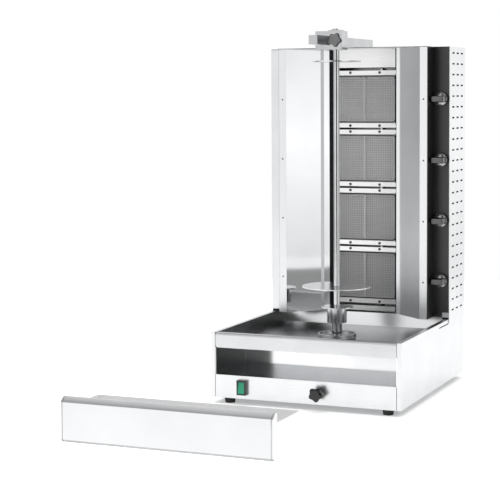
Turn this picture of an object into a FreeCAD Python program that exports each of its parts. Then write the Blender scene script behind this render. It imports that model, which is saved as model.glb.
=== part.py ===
import FreeCAD, Part
import math
import os

os.makedirs("parts", exist_ok=True)

# Gas kebab grill, in millimetres. X runs to the right, Y runs back from the front plane of the base
# and Z runs up from the floor while the pieces are made. They are all moved along Y at the end, so that
# the origin is on the floor in the middle of the whole outline, with the drawer standing out in front.

# Sheet metal and fits
sheet = 1.5                   # stainless steel of the casing
thin_sheet = 1.0              # gauze frames and inner sheets
side_gap = 0.3                # between pieces that lie side by side
running_gap = 0.05            # radial clearance of a shaft in its bore
beyond = 1.0                  # how far a cut goes past the face that it opens

# Base
base_width = 540.0
base_depth = 615.0
base_height = 177.0
foot_height = 17.0
foot_top_radius = 16.0
foot_bottom_radius = 13.5
foot_inset_x = 44.0
foot_inset_y = 28.0
edge_fold = 12.0              # width of the folded edges of the side panels
front_seam = 1.2              # shadow gap from a folded edge to the front plate and the pan
front_plate_height = 62.5
lip_height = 40.5
lip_roll = 7.0                # radius of the rolled front edge of the pan
lip_corner = 8.0
lip_rim = 14.0
slot_depth = 208.0
side_slit_length = 96.0
side_slit_height = 3.0
back_fold = 15.0

# Drip pan
pan_clearance = 0.5           # pan floor above the drawer slot
pan_depth = 510.0

# Drawer
drawer_front_side_gap = 3.7   # closed front to the folded edge of a base side
drawer_front_thickness = 22.0
drawer_front_drop = 7.5       # how far the closed front hangs over the front plate
drawer_front_overlap = 20.5   # how far it reaches up over the pan's lip
drawer_front_corner = 6.0
drawer_runner_gap = 6.2       # drawer box to a side wall of its housing
drawer_box_depth = 145.0
drawer_lift = 1.5             # box floor above the slot floor
drawer_head_gap = 4.0         # box rim to the top of the slot
drawer_seat_gap = 0.5         # closed front to front plate
drawer_out = 820.0            # how far the drawer stands out at rest
drawer_sheet = 1.2

# Mains switch
switch_from_side = 93.0
switch_rise = 31.5            # centre above the base bottom
switch_width = 27.0
switch_height = 40.0
switch_proud = 12.0
switch_body_depth = 24.0
bezel_chamfer = 1.0
rocker_width = 18.5
rocker_height = 31.0
rocker_gap = 0.8              # above and below the rocker, room to tip
rocker_pivot = 10.0           # pivot in front of the base's front plane
rocker_rise = 2.0             # the rocker's ends to its middle
rocker_depth = 10.0           # pivot to the rocker's back
rocker_pin_radius = 1.5
rocker_pin_length = 2.0       # pin in the bezel's wall

# Tower
tower_lift = 5.0              # height of the pads under the tower
tower_height = 771.0
tower_setback = 451.0         # front plane of the base to the knob panel
skirt_drop = 10.0             # how far the side panels hang over the base
cheek_depth = 61.0            # how far the cheeks stand in front of the knob panel
cheek_from_side = 46.5        # base side to the outer edge of a cheek
cheek_width = 21.5
cheek_hem = 12.0
wing_margin = 25.6            # burner edge to the inner edge of a wing
wing_depth = 72.0             # cheek front to the jamb
jamb_width = 9.8
recess_depth = 47.5           # jamb to the burner flanges
wing_lift = 1.0               # wing bottom above the tower bottom
roof_overhang = 1.5
pad_length = 20.0
pad_depth = 14.0

# Vent slots of the side panels
vent_columns = 3
vent_rows = 25
vent_pitch_y = 45.5
vent_pitch_z = 30.6
vent_length = 23.0
vent_height = 4.6
vent_first_y = 38.0           # panel front edge to the first column
vent_top_margin = 17.5

# Burners
burner_count = 4
burner_rise = 106.0           # tower bottom to the centre of the lowest burner
burner_pitch = 172.5
burner_width = 190.0
burner_height = 166.5
burner_body_depth = 44.0
burner_flange_height = 11.5
burner_groove_depth = 6.0     # groove between a burner's flange and its gauze
burner_slot_margin = 0.6      # flange edge to the slot between two burners
gauze_margin = 2.5            # burner edge to gauze edge
gauze_height = 131.0
gauze_border = 4.0
gauze_columns = 18
gauze_rows = 13
gauze_wire = 2.2
gauze_thickness = 1.2
gauze_standoff = 2.0
tile_width = 88.0
tile_gap = 4.0
tile_thickness = 12.0
tile_setback = 3.0
divider_proud = 1.0           # bar between the two tiles in front of them
burner_screw_x = 45.0
burner_screw_radius = 4.0
burner_screw_head = 3.0
hood_height = 54.0
foot_strip_height = 14.5
strip_margin = 1.5            # burner edge to the end of the hood and foot strips

# Gas line
gas_from_side = 23.5          # base side to the knob, stem and valve axis
valve_width = 28.0
valve_height = 26.0
valve_length = 75.0
valve_nose_radius = 9.0
valve_nose_length = 17.0
manifold_shift = 8.0          # manifold nearer to the middle than the valves
manifold_radius = 10.0
manifold_bore = 7.5
manifold_stub_radius = 6.0
manifold_stub_length = 12.0
manifold_bend = 24.0
inlet_rise = 45.0             # inlet axis above the base bottom
inlet_radius = 10.48          # outside of the half inch thread
inlet_length = 15.0
inlet_nut_radius = 14.0
inlet_nut_length = 8.0
feed_radius = 4.0
mixing_radius = 12.0
mixing_length = 60.0
mixing_setback = 26.0         # burner flange to the mixing tube axis
injector_radius = 7.0
injector_length = 16.0
probe_radius = 2.5
probe_x = 54.0
probe_proud = 9.0
probe_length = 40.0
probe_bridge = 6.0            # half width of the sheet left round a probe

# Gas knobs
knob_radius = 21.0
knob_skirt = 10.0
knob_proud = 45.0             # front of the grip to the knob panel
knob_push = 4.0
knob_clear = 0.6
stem_hole_gap = 1.0
grip_width = 20.0
grip_span = 36.5
grip_front_span = 34.0
grip_taper = 3.0              # how much lower the grip is at its front
grip_sink = 1.0               # grip inside the skirt
skirt_taper = 2.0
stem_radius = 4.0
stem_grip_depth = 22.0        # stem inside the knob
stem_tail = 22.0              # stem inside the valve

# Spit
spit_y = 262.0
skewer_radius = 8.5
skewer_top = 998.0
skewer_point = 6.0
shaft_radius = 9.0
hub_radius = 14.0
hub_lift = 1.0                # thick hub above the pan floor
hub_top = 225.0
dish_radius = 54.0
dish_height = 11.0
dish_wall = 6.0
dish_floor = 4.0
dish_rim_round = 1.5
dish_gap = 2.5
dish_boss_radius = 18.0
dish_boss_height = 4.0
dish_screw_radius = 3.0
dish_screw_proud = 4.0
socket_radius = 27.5
socket_low = 199.0
socket_height = 42.0
socket_flange_radius = 45.0
socket_flange = 3.0
meat_plate_radius = 97.0
meat_plate_top = 302.0
meat_plate_thickness = 3.0
meat_boss_radius = 13.0
meat_boss_height = 12.0
disc_radius = 67.0
disc_low = 927.0
disc_thickness = 3.0

# Drive under the pan
travel = 40.0                 # how far the spit can be drawn to the front
rail_x = 60.0
rail_width = 12.0
rail_height = 3.5
rail_back = 400.0
carriage_width = 140.0
carriage_length = 140.0
carriage_plate = 4.0
carriage_lip = 3.0
gearbox_width = 90.0
gearbox_length = 110.0
gearbox_height = 44.0
gearbox_corner = 4.0
gearbox_boss_radius = 18.0
gearbox_boss = 4.0
motor_radius = 21.0
motor_length = 74.0
shaft_seat = 20.0             # shaft inside the gearbox
slot_clearance = 4.0          # pan slot to the shaft
rod_x = 42.0
rod_rise = 30.0               # rod axis above the base bottom
rod_radius = 5.0
rod_bracket_y = 189.0
rod_bracket_thickness = 4.0
rod_bracket_width = 26.0
rod_stop_radius = 8.0
rod_stop = 4.0
bush_radius = 9.0
bush_flange_radius = 12.0
bush_flange = 2.0
bush_length = 12.0

# Star knobs, front and top
star_lobes = 5
star_radius = 20.0
star_valley = 14.0
star_lobe_half_angle = 17.0
star_shoulder = 0.93          # radius at a lobe's ends, as a share of its tip
star_edge = 2.0
star_thickness = 18.0
star_neck_radius = 9.0
star_front = 32.0             # front face of the lower knob to the front plate

# Arm and bracket at the top
arm_side = 25.0
arm_wall = 2.0
arm_x = -23.5
arm_front = 140.0
arm_cap = 2.0
arm_mount_height = 3.0
arm_mount_width = 19.0
arm_mount_length = 75.0
arm_mount_from_back = 16.0
bracket_left = 53.5
bracket_right = 23.5
bracket_front = 23.0          # spit axis to the front face
bracket_back = 26.5
bracket_below_arm = 12.0
bracket_above_arm = 14.0
arm_fit = 0.3
bearing_radius = 14.0
bearing_flange_radius = 16.0
bearing_flange = 1.5
bearing_seat_gap = 0.2
head_room = 12.0              # half width of the space round the spit's end
head_side_gap = 1.0           # spit's end to the wall next to the arm
top_knob_x = 14.0
top_knob_front = 36.0         # front face of the top knob to the bracket
top_stud_radius = 5.0
top_stud_seat = 9.0
top_stud_end_gap = 1.0
lock_plate = 3.0
lock_plate_length = 38.0
lock_plate_depth = 25.0
plunger_radius = 3.0
plunger_head_radius = 6.0
plunger_head = 4.0
plunger_gap = 0.4
guide_pin_radius = 3.0
guide_pin_x = -10.0
guide_pin_height = 3.0

# Casing details
rivet_radius = 2.4
rivet_head = 1.0
back_screw_radius = 4.0
back_screw_head = 2.2
back_screw_inset = 12.0
gland_from_side = 70.0
gland_rise = 40.0
gland_radius = 9.0
gland_nut_radius = 12.0
gland_nut = 6.0
gland_length = 22.0
gland_bore = 4.2

# Heights and planes that follow from the sizes above
base_low = foot_height
base_top = base_low + base_height
base_half = base_width / 2
panel_half = base_half - edge_fold - side_gap
front_half = base_half - edge_fold - front_seam
slot_low = base_low + front_plate_height
slot_high = base_top - lip_height
switch_x = switch_from_side - base_half
gas_x = base_half - gas_from_side
manifold_x = gas_x - manifold_shift
gland_x = gland_from_side - base_half
cheek_outer = base_half - cheek_from_side
cheek_inner = cheek_outer - cheek_width
rivet_x = (cheek_outer + cheek_inner) / 2
wing_inner = burner_width / 2 + wing_margin
gauze_width = burner_width - 2 * gauze_margin
strip_half = burner_width / 2 - strip_margin
pan_low = slot_high + pan_clearance
pan_floor = pan_low + sheet
tower_low = base_top + tower_lift
tower_top = tower_low + tower_height
tower_half = base_half + side_gap + sheet
cheek_front = tower_setback - cheek_depth
jamb_y = cheek_front + wing_depth
jamb_inner = wing_inner - jamb_width
burner_y = jamb_y + recess_depth - sheet
surround_y = burner_y + sheet
burner_heights = [tower_low + burner_rise + burner_pitch * i for i in range(burner_count)]
burner_body_height = burner_height - 2 * burner_flange_height
valve_back = tower_setback + sheet + side_gap + valve_nose_length + valve_length
mixing_y = burner_y + mixing_setback
rod_z = base_low + rod_rise
rail_low = base_low + sheet
rail_top = rail_low + rail_height
carriage_top = rail_top + carriage_plate
gearbox_top = carriage_top + gearbox_height
dish_low = pan_floor + dish_gap
arm_low = tower_top + arm_mount_height
arm_top = arm_low + arm_side
arm_z = arm_low + arm_side / 2
bracket_low = arm_low - bracket_below_arm
bracket_top = arm_top + bracket_above_arm
bearing_top = arm_low - arm_fit
drawer_front_width = 2 * (panel_half - drawer_front_side_gap)
drawer_front_low = slot_low - drawer_front_drop
drawer_front_height = slot_high + drawer_front_overlap - drawer_front_low
drawer_box_half = panel_half - sheet - drawer_runner_gap
drawer_box_low = slot_low + drawer_lift
drawer_box_height = slot_high - drawer_head_gap - drawer_box_low
inlet_back = base_depth + inlet_nut_length + inlet_length
outline_front = -(drawer_out + drawer_seat_gap + drawer_front_thickness)
origin_y = (outline_front + max(inlet_back, base_depth + gland_length)) / 2

X = FreeCAD.Vector(1, 0, 0)
Y = FreeCAD.Vector(0, 1, 0)
Z = FreeCAD.Vector(0, 0, 1)


def point(x, y, z):
    return FreeCAD.Vector(x, y, z)


def box(x0, x1, y0, y1, z0, z1):
    return Part.makeBox(x1 - x0, y1 - y0, z1 - z0, point(x0, y0, z0))


def rod(start, radius, length, axis):
    return Part.makeCylinder(radius, length, start, axis)


def tube(start, outer, inner, length, axis):
    return rod(start, outer, length, axis).cut(rod(start, inner, length, axis))


def joined(shapes):
    """Weld shapes that touch into one solid."""
    return shapes[0].fuse(shapes[1:]).removeSplitter()


def mirrored(shape):
    """The same piece for the left side."""
    return shape.mirror(point(0, 0, 0), X)


def extruded(wires, direction):
    """A solid from an outer wire and the wires of its holes."""
    return Part.makeFace(wires, "Part::FaceMakerBullseye").extrude(direction)


def outline(corners, origin, across, up):
    """A closed wire through corners given as (across, up) pairs."""
    points = [origin + across * a + up * u for a, u in corners]
    return Part.makePolygon(points + points[:1])


def folded(corners, thickness, origin, across, up, direction):
    """A bent sheet. The (across, up) corners run along one face, and the sheet lies on their right."""
    normals = []
    for (a0, u0), (a1, u1) in zip(corners, corners[1:]):
        length = math.hypot(a1 - a0, u1 - u0)
        normals.append(((u1 - u0) / length, (a0 - a1) / length))
    far_face = []
    for i, (a, u) in enumerate(corners):
        before = normals[max(i - 1, 0)]
        after = normals[min(i, len(normals) - 1)]
        share = thickness / (1 + before[0] * after[0] + before[1] * after[1])
        far_face.append((a + share * (before[0] + after[0]), u + share * (before[1] + after[1])))
    return extruded([outline(corners + far_face[::-1], origin, across, up)], direction)


def rectangle(half_width, half_height):
    """Corners of a rectangle round (0, 0), for outline()."""
    return [(-half_width, -half_height), (half_width, -half_height),
            (half_width, half_height), (-half_width, half_height)]


def slot_wire(centre, length, height, along, up):
    """A slot with round ends."""
    half = (length - height) / 2
    radius = height / 2
    lines = []
    for side in (1, -1):
        start = centre + along * (half * side) - up * (radius * side)
        tip = centre + along * ((half + radius) * side)
        end = centre + along * (half * side) + up * (radius * side)
        lines.append(Part.Arc(start, tip, end).toShape())
        lines.append(Part.makeLine(end, end - along * (2 * half * side)))
    return Part.Wire(lines)


def rounded_rectangle(centre, width, height, radius, along, up):
    """A rectangle with four round corners, drawn anticlockwise from the lower right one."""
    diagonal = radius * math.cos(math.radians(45))
    corners = []
    for a, u in ((1, -1), (1, 1), (-1, 1), (-1, -1)):
        middle = centre + along * (a * (width / 2 - radius)) + up * (u * (height / 2 - radius))
        beside = middle + along * (a * radius)
        above = middle + up * (u * radius)
        tip = middle + along * (a * diagonal) + up * (u * diagonal)
        corners.append((above, tip, beside) if a != u else (beside, tip, above))
    lines = []
    for i, (start, tip, end) in enumerate(corners):
        lines.append(Part.Arc(start, tip, end).toShape())
        lines.append(Part.makeLine(end, corners[(i + 1) % 4][0]))
    return Part.Wire(lines)


def edges_along(shape, axis, **place):
    """Straight edges of a shape along X, Y or Z, at the given places on the other axes."""
    found = []
    for edge in shape.Edges:
        size = edge.BoundBox
        middle = size.Center
        lengths = {"x": size.XLength, "y": size.YLength, "z": size.ZLength}
        thin = [lengths[name] < 0.01 for name in lengths if name != axis]
        if all(thin) and all(abs(getattr(middle, name) - value) < 0.01 for name, value in place.items()):
            found.append(edge)
    return found


def save(name, *shapes):
    """Write the solids of one piece, or of a group of equal pieces."""
    moved = []
    for shape in shapes:
        for solid in shape.Solids:
            placed = solid.copy()
            placed.translate(point(0, -origin_y, 0))
            moved.append(placed)
    whole = moved[0] if len(moved) == 1 else Part.makeCompound(moved)
    whole.exportStep("parts/" + name + ".step")


def base_side():
    """Right side panel of the base, folded inwards all round, with the slit for the tower's skirt."""
    outer = base_half
    inner = outer - edge_fold
    shell = joined([
        box(outer - sheet, outer, 0, base_depth, base_low, base_top),
        box(inner, outer, 0, base_depth, base_top - sheet, base_top),
        box(inner, outer, 0, base_depth, base_low, base_low + sheet),
        box(inner, outer, 0, sheet, base_low, base_top),
        box(inner, outer, base_depth - sheet, base_depth, base_low, base_top),
    ])
    slit_top = base_top - skirt_drop
    slit = box(outer - 2 * sheet, outer + sheet, tower_setback - side_slit_length, tower_setback,
               slit_top - side_slit_height, slit_top)
    return shell.cut(slit)


def make_base():
    right = base_side()
    save("base_side_right", right)
    save("base_side_left", mirrored(right))

    plate = joined([
        box(-front_half, front_half, 0, sheet, base_low, slot_low),
        box(-front_half, front_half, 0, back_fold, base_low, base_low + sheet),
    ])
    switch_z = base_low + switch_rise
    hole_x = switch_width / 2 - sheet + side_gap
    hole_z = switch_height / 2 - sheet + side_gap
    switch_hole = box(switch_x - hole_x, switch_x + hole_x, -sheet, 2 * sheet,
                      switch_z - hole_z, switch_z + hole_z)
    bush_hole = rod(point(rod_x, -sheet, rod_z), bush_radius + side_gap, 3 * sheet, Y)
    save("base_front_plate", plate.cut(switch_hole).cut(bush_hole))

    inlet_z = base_low + inlet_rise
    gland_z = base_low + gland_rise
    floor_back = base_depth - sheet - side_gap
    save("base_floor", box(-panel_half, panel_half, back_fold + side_gap, floor_back,
                           base_low, base_low + sheet))
    tower_edge = tower_half - sheet - side_gap
    rear = joined([
        box(-panel_half, panel_half, base_depth - sheet, base_depth, base_low, base_top + side_gap),
        box(-tower_edge, tower_edge, base_depth - sheet, base_depth, base_top + side_gap,
            tower_top - sheet - side_gap),
    ])
    for x, z, radius in ((manifold_x, inlet_z, manifold_radius), (gland_x, gland_z, gland_radius)):
        rear = rear.cut(rod(point(x, base_depth - 2 * sheet, z), radius + side_gap, 3 * sheet, Y))
    save("rear_panel", rear)

    feet = []
    for side in (-1, 1):
        for y in (foot_inset_y, base_depth - foot_inset_y):
            feet.append(Part.makeCone(foot_bottom_radius, foot_top_radius, foot_height,
                                      point(side * (base_half - foot_inset_x), y, 0), Z))
    save("feet", *feet)

    housing = joined([
        box(-panel_half, panel_half, sheet + side_gap, slot_depth, slot_low - sheet, slot_low),
        box(-panel_half, panel_half, slot_depth - sheet, slot_depth, slot_low - sheet, pan_low),
        box(panel_half - sheet, panel_half, sheet + side_gap, slot_depth, slot_low - sheet, pan_low),
        box(-panel_half, sheet - panel_half, sheet + side_gap, slot_depth, slot_low - sheet, pan_low),
    ])
    save("drawer_housing", housing)


def make_pan():
    """Drip pan with its rolled front lip, which hangs over the drawer slot."""
    profile = [
        (0, slot_high), (0, base_top), (lip_rim, base_top), (lip_rim, pan_floor),
        (pan_depth - sheet, pan_floor), (pan_depth - sheet, base_top),
    ]
    pan = folded(profile, sheet, point(-front_half, 0, 0), Y, Z, X * (2 * front_half))
    pan = pan.makeFillet(lip_roll, edges_along(pan, "x", y=0, z=base_top))
    pan = pan.makeFillet(lip_roll - sheet, edges_along(pan, "x", y=sheet, z=base_top - sheet))
    walls = [box(side * front_half - sheet * (side > 0), side * front_half + sheet * (side < 0),
                 lip_rim, pan_depth, pan_low, base_top) for side in (-1, 1)]
    pan = joined([pan] + walls)
    lower_corners = [e for side in (-1, 1)
                     for e in edges_along(pan, "y", x=side * front_half, y=sheet / 2, z=slot_high)]
    pan = pan.makeFillet(lip_corner, lower_corners)
    slot_radius = shaft_radius + slot_clearance
    front = spit_y - travel
    slot = joined([
        box(-slot_radius, slot_radius, front, spit_y, pan_low - sheet, pan_floor + sheet),
        rod(point(0, front, pan_low - sheet), slot_radius, 3 * sheet, Z),
        rod(point(0, spit_y, pan_low - sheet), slot_radius, 3 * sheet, Z),
    ])
    save("drip_pan", pan.cut(slot))


def make_drawer():
    """Drawer front folded like a shallow tray, and the box that hangs behind it."""
    back = -drawer_seat_gap - drawer_out
    face = back - drawer_front_thickness
    half = drawer_front_width / 2
    top = drawer_front_low + drawer_front_height
    centre = point(0, face, (drawer_front_low + top) / 2)
    outer = rounded_rectangle(centre, drawer_front_width, drawer_front_height, drawer_front_corner, X, Z)
    block = extruded([outer], Y * drawer_front_thickness)
    hollow = box(-half + drawer_sheet, half - drawer_sheet, face + drawer_sheet, back + sheet,
                 drawer_front_low + drawer_sheet, top - drawer_sheet)
    inner = rounded_rectangle(centre + Y * drawer_sheet, drawer_front_width - 2 * drawer_sheet,
                              drawer_front_height - 2 * drawer_sheet,
                              drawer_front_corner - drawer_sheet, X, Z)
    front = block.cut(extruded([inner], Y * drawer_front_thickness).common(hollow))
    hem = drawer_front_drop
    hems = [box(-half + drawer_front_corner, half - drawer_front_corner, back - drawer_sheet, back,
                z, z + hem) for z in (drawer_front_low, top - hem)]
    save("drawer_front", joined([front] + hems))

    low = drawer_box_low
    high = low + drawer_box_height
    start = face + drawer_sheet
    end = back + drawer_box_depth
    inner_half = drawer_box_half - drawer_sheet
    shell = box(-drawer_box_half, drawer_box_half, start, end, low, high)
    inside = box(-inner_half, inner_half, start + drawer_sheet, end - drawer_sheet,
                 low + drawer_sheet, high + drawer_sheet)
    save("drawer_box", shell.cut(inside))


def make_switch():
    """Switch bezel with its pocket, and the green rocker on its pivot."""
    z = base_low + switch_rise
    half_x = switch_width / 2
    half_z = switch_height / 2
    pocket_x = rocker_width / 2 + side_gap
    pocket_z = rocker_height / 2 + rocker_gap
    bezel = joined([
        box(switch_x - half_x, switch_x + half_x, -switch_proud, 0, z - half_z, z + half_z),
        box(switch_x - half_x + sheet, switch_x + half_x - sheet, -sheet, switch_body_depth,
            z - half_z + sheet, z + half_z - sheet),
    ])
    front_edges = [e for e in bezel.Edges if e.BoundBox.YMax < 0.01 - switch_proud]
    bezel = bezel.makeChamfer(bezel_chamfer, front_edges)
    pocket = box(switch_x - pocket_x, switch_x + pocket_x, -2 * switch_proud, switch_proud,
                 z - pocket_z, z + pocket_z)
    pivot = point(switch_x, -rocker_pivot, z)
    reach = rocker_width / 2 + rocker_pin_length
    pin_hole = rod(pivot - X * (reach + side_gap), rocker_pin_radius + running_gap,
                   2 * (reach + side_gap), X)
    save("switch_bezel", bezel.cut(pocket).cut(pin_hole))

    rock = rocker_height / 2
    middle = -rocker_pivot - rocker_rise / 2
    corners = [
        (middle - rocker_rise, -rock), (middle, 0), (middle + rocker_rise, rock),
        (rocker_depth / 2 - rocker_pivot, rock - rocker_rise / 2), (rocker_depth - rocker_pivot, 0),
        (rocker_depth / 2 - rocker_pivot, rocker_rise / 2 - rock),
    ]
    side = outline(corners, point(switch_x - rocker_width / 2, 0, z), Y, Z)
    pin = rod(pivot - X * reach, rocker_pin_radius, 2 * reach, X)
    save("switch_rocker", joined([extruded([side], X * rocker_width), pin]))


def tower_side():
    """Right side panel of the tower, with its vent slots and a foot on each pad."""
    front = tower_setback
    low = base_top - skirt_drop
    plane = tower_half - sheet
    rim = outline([(front, low), (base_depth, low), (base_depth, tower_top), (front, tower_top)],
                  point(plane, 0, 0), Y, Z)
    slots = []
    for column in range(vent_columns):
        for row in range(vent_rows):
            y = front + vent_first_y + vent_pitch_y * column
            z = tower_top - vent_top_margin - vent_pitch_z * row
            slots.append(slot_wire(point(plane, y, z), vent_length, vent_height, Y, Z))
    panel = extruded([rim] + slots, X * sheet)
    foot = joined([
        box(plane - pad_length, plane, front + 2 * sheet, front + pad_depth, tower_low, tower_low + sheet),
        box(plane - pad_length, plane, front + 2 * sheet, front + 3 * sheet, tower_low,
            tower_low + pad_depth),
    ])
    rear_foot = box(plane - pad_length, plane, base_depth - pad_depth - 2 * sheet,
                    base_depth - sheet - side_gap, tower_low, tower_low + sheet)
    return joined([panel, foot, rear_foot])


def make_tower():
    right = tower_side()
    save("tower_side_right", right)
    low = tower_low + wing_lift
    rise = tower_height - sheet - wing_lift
    return_x = cheek_outer + side_gap
    return_line = [(return_x, cheek_front), (return_x, tower_setback + sheet)]
    blank_line = return_line + [(tower_half, tower_setback + sheet)]
    blank = folded(blank_line, sheet, point(0, 0, low), X, Y, Z * rise)
    save("tower_side_left", mirrored(joined([right, blank])))

    wing_line = [
        (cheek_outer, cheek_front + cheek_hem), (cheek_outer, cheek_front), (cheek_inner, cheek_front),
        (wing_inner, jamb_y), (jamb_inner, jamb_y), (jamb_inner, surround_y - side_gap),
    ]
    wing = folded(wing_line, sheet, point(0, 0, low), X, Y, Z * rise)
    save("tower_wing_right", wing)
    save("tower_wing_left", mirrored(wing))

    panel_line = return_line + [(tower_half - sheet - side_gap, tower_setback + sheet)]
    panel = folded(panel_line, sheet, point(0, 0, low), X, Y, Z * rise)
    for z in burner_heights:
        stem_hole = rod(point(gas_x, tower_setback - sheet, z), stem_radius + stem_hole_gap, 4 * sheet, Y)
        panel = panel.cut(stem_hole)
    foot_notch = box(tower_half - sheet - side_gap - pad_length, tower_half, tower_setback - sheet,
                     tower_setback + 2 * sheet, tower_low, tower_low + pad_depth + side_gap)
    save("knob_panel", panel.cut(foot_notch))

    edge = cheek_front - roof_overhang
    corner = tower_half - sheet - side_gap
    cheek = cheek_outer + side_gap + sheet
    roof = joined([
        box(-corner, corner, tower_setback - roof_overhang, base_depth, tower_top - sheet, tower_top),
        box(-cheek, cheek, edge, tower_setback, tower_top - sheet, tower_top),
    ])
    save("tower_roof", roof)

    pads = []
    for side in (-1, 1):
        for y in (tower_setback + 2 * sheet, base_depth - pad_depth - 2 * sheet):
            x = side * (tower_half - sheet - pad_length / 2)
            pads.append(box(x - pad_length / 2, x + pad_length / 2, y, y + pad_depth - 2 * sheet,
                            base_top, tower_low))
    save("tower_pads", *pads)


def make_burner_surround():
    """Sheet that carries the burners, with the hood strip above them and the foot strip below."""
    low = tower_low + wing_lift
    high = tower_top - sheet
    half = wing_inner
    plate = box(-half, half, surround_y, surround_y + sheet, low, high)
    body_half = burner_width / 2 - 2 * sheet
    for z in burner_heights:
        window = box(-body_half - side_gap, body_half + side_gap, surround_y - sheet, surround_y + 2 * sheet,
                     z - burner_body_height / 2 - side_gap, z + burner_body_height / 2 + side_gap)
        probe_hole = rod(point(probe_x, surround_y - sheet, probe_height(z)), probe_radius + side_gap,
                         3 * sheet, Y)
        plate = plate.cut(window).cut(probe_hole)
    edges = [low + foot_strip_height, high - hood_height]
    for z in burner_heights:
        edges += [z - burner_height / 2, z + burner_height / 2]
    edges.sort()
    for below, above in zip(edges[::2], edges[1::2]):
        for x0, x1 in ((-body_half, probe_x - probe_bridge), (probe_x + probe_bridge, body_half)):
            plate = plate.cut(box(x0, x1, surround_y - sheet, surround_y + 2 * sheet,
                                  below + burner_slot_margin, above - burner_slot_margin))
    hood = box(-strip_half, strip_half, burner_y - sheet, surround_y, high - hood_height, high)
    hollow = box(-strip_half + sheet, strip_half - sheet,
                 burner_y - sheet + thin_sheet, surround_y, high - hood_height + sheet, high)
    foot = box(-strip_half, strip_half, burner_y - sheet, surround_y, low, low + foot_strip_height)
    save("burner_surround", joined([plate, hood.cut(hollow), foot]))


def probe_height(burner_z):
    """Middle of the gap above a burner."""
    return burner_z + burner_pitch / 2


def make_burners():
    half_w = burner_width / 2
    half_h = burner_height / 2
    body_w = half_w - 2 * sheet
    body_h = burner_body_height / 2
    tile_back = burner_y + tile_setback + tile_thickness
    gauzes = []
    tiles = []
    screws = []
    injectors = []
    feeds = []
    probes = []
    for number, z in enumerate(burner_heights, 1):
        flanges = [box(-half_w, half_w, burner_y, surround_y, z0, z0 + burner_flange_height)
                   for z0 in (z - half_h, z + half_h - burner_flange_height)]
        body = box(-body_w, body_w, burner_y, burner_y + burner_body_depth, z - body_h, z + body_h)
        tile_room = box(-tile_width - tile_gap / 2 - side_gap, tile_width + tile_gap / 2 + side_gap,
                        burner_y - sheet, tile_back + side_gap, z - gauze_height / 2 - side_gap,
                        z + gauze_height / 2 + side_gap)
        chamber = box(-body_w + 4 * sheet, body_w - 4 * sheet, tile_back - sheet,
                      burner_y + burner_body_depth - sheet, z - body_h + 4 * sheet, z + body_h - 4 * sheet)
        divider_front = burner_y + tile_setback - divider_proud
        divider = box(side_gap - tile_gap / 2, tile_gap / 2 - side_gap, divider_front,
                      tile_back + 2 * side_gap + sheet, z - body_h + sheet, z + body_h - sheet)
        mixing = tube(point(body_w - sheet, mixing_y, z), mixing_radius, mixing_radius - sheet,
                      mixing_length, X)
        inlet = rod(point(body_w - 5 * sheet, mixing_y, z), mixing_radius - sheet, 6 * sheet, X)
        groove_low = gauze_height / 2 + side_gap + sheet
        casing = joined(flanges + [body])
        for z0, z1 in ((groove_low, body_h - sheet), (sheet - body_h, -groove_low)):
            casing = casing.cut(box(sheet - body_w, body_w - sheet, burner_y - sheet,
                                    burner_y + burner_groove_depth, z + z0, z + z1))
        casing = casing.cut(tile_room).cut(chamber).cut(inlet)
        save("burner_casing_%d" % number, joined([casing, divider, mixing]))

        for side in (-1, 1):
            near = side * tile_gap / 2
            far = side * (tile_gap / 2 + tile_width)
            tiles.append(box(min(near, far), max(near, far), burner_y + tile_setback, tile_back,
                             z - gauze_height / 2, z + gauze_height / 2))
            for flange_z in (z - half_h + burner_flange_height / 2, z + half_h - burner_flange_height / 2):
                screws.append(rod(point(side * burner_screw_x, burner_y - burner_screw_head, flange_z),
                                  burner_screw_radius, burner_screw_head, Y))
        gauzes.append(gauze(z))
        injector_x = body_w - sheet + mixing_length + side_gap
        injectors.append(injector(injector_x, z))
        feed_x = injector_x + injector_length
        feed_end = gas_x - valve_width / 2
        feeds.append(tube(point(feed_x, mixing_y, z), feed_radius, feed_radius - thin_sheet,
                          feed_end - feed_x, X))
        probes.append(rod(point(probe_x, burner_y - probe_proud, probe_height(z)), probe_radius,
                          probe_length, Y))
    save("burner_gauzes", *gauzes)
    save("burner_tiles", *tiles)
    save("burner_screws", *screws)
    save("gas_injectors", *injectors)
    save("feed_pipes", *feeds)
    save("flame_probes", *probes)


def gauze(z):
    """Wire gauze in front of one burner, as a flat net with a folded border."""
    back = burner_y - gauze_standoff
    front = point(0, back - gauze_thickness, z)
    rim = rounded_rectangle(front, gauze_width, gauze_height, 3 * gauze_border, X, Z)
    pitch_x = (gauze_width - 2 * gauze_border + gauze_wire) / gauze_columns
    pitch_z = (gauze_height - 2 * gauze_border + gauze_wire) / gauze_rows
    gap_x = pitch_x - gauze_wire
    gap_z = pitch_z - gauze_wire
    holes = []
    for i in range(gauze_columns):
        for j in range(gauze_rows):
            corner = i in (0, gauze_columns - 1) and j in (0, gauze_rows - 1)
            if corner:
                continue
            x = (i - (gauze_columns - 1) / 2) * pitch_x
            up = (j - (gauze_rows - 1) / 2) * pitch_z
            holes.append(outline(rectangle(gap_x / 2, gap_z / 2), front + X * x + Z * up, X, Z))
    net = extruded([rim] + holes, Y * gauze_thickness)
    inner = rounded_rectangle(front, gauze_width - 2 * gauze_border, gauze_height - 2 * gauze_border,
                              2 * gauze_border, X, Z)
    border = extruded([rim, inner], Y * (gauze_thickness + gauze_standoff))
    return joined([net, border])


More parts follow.
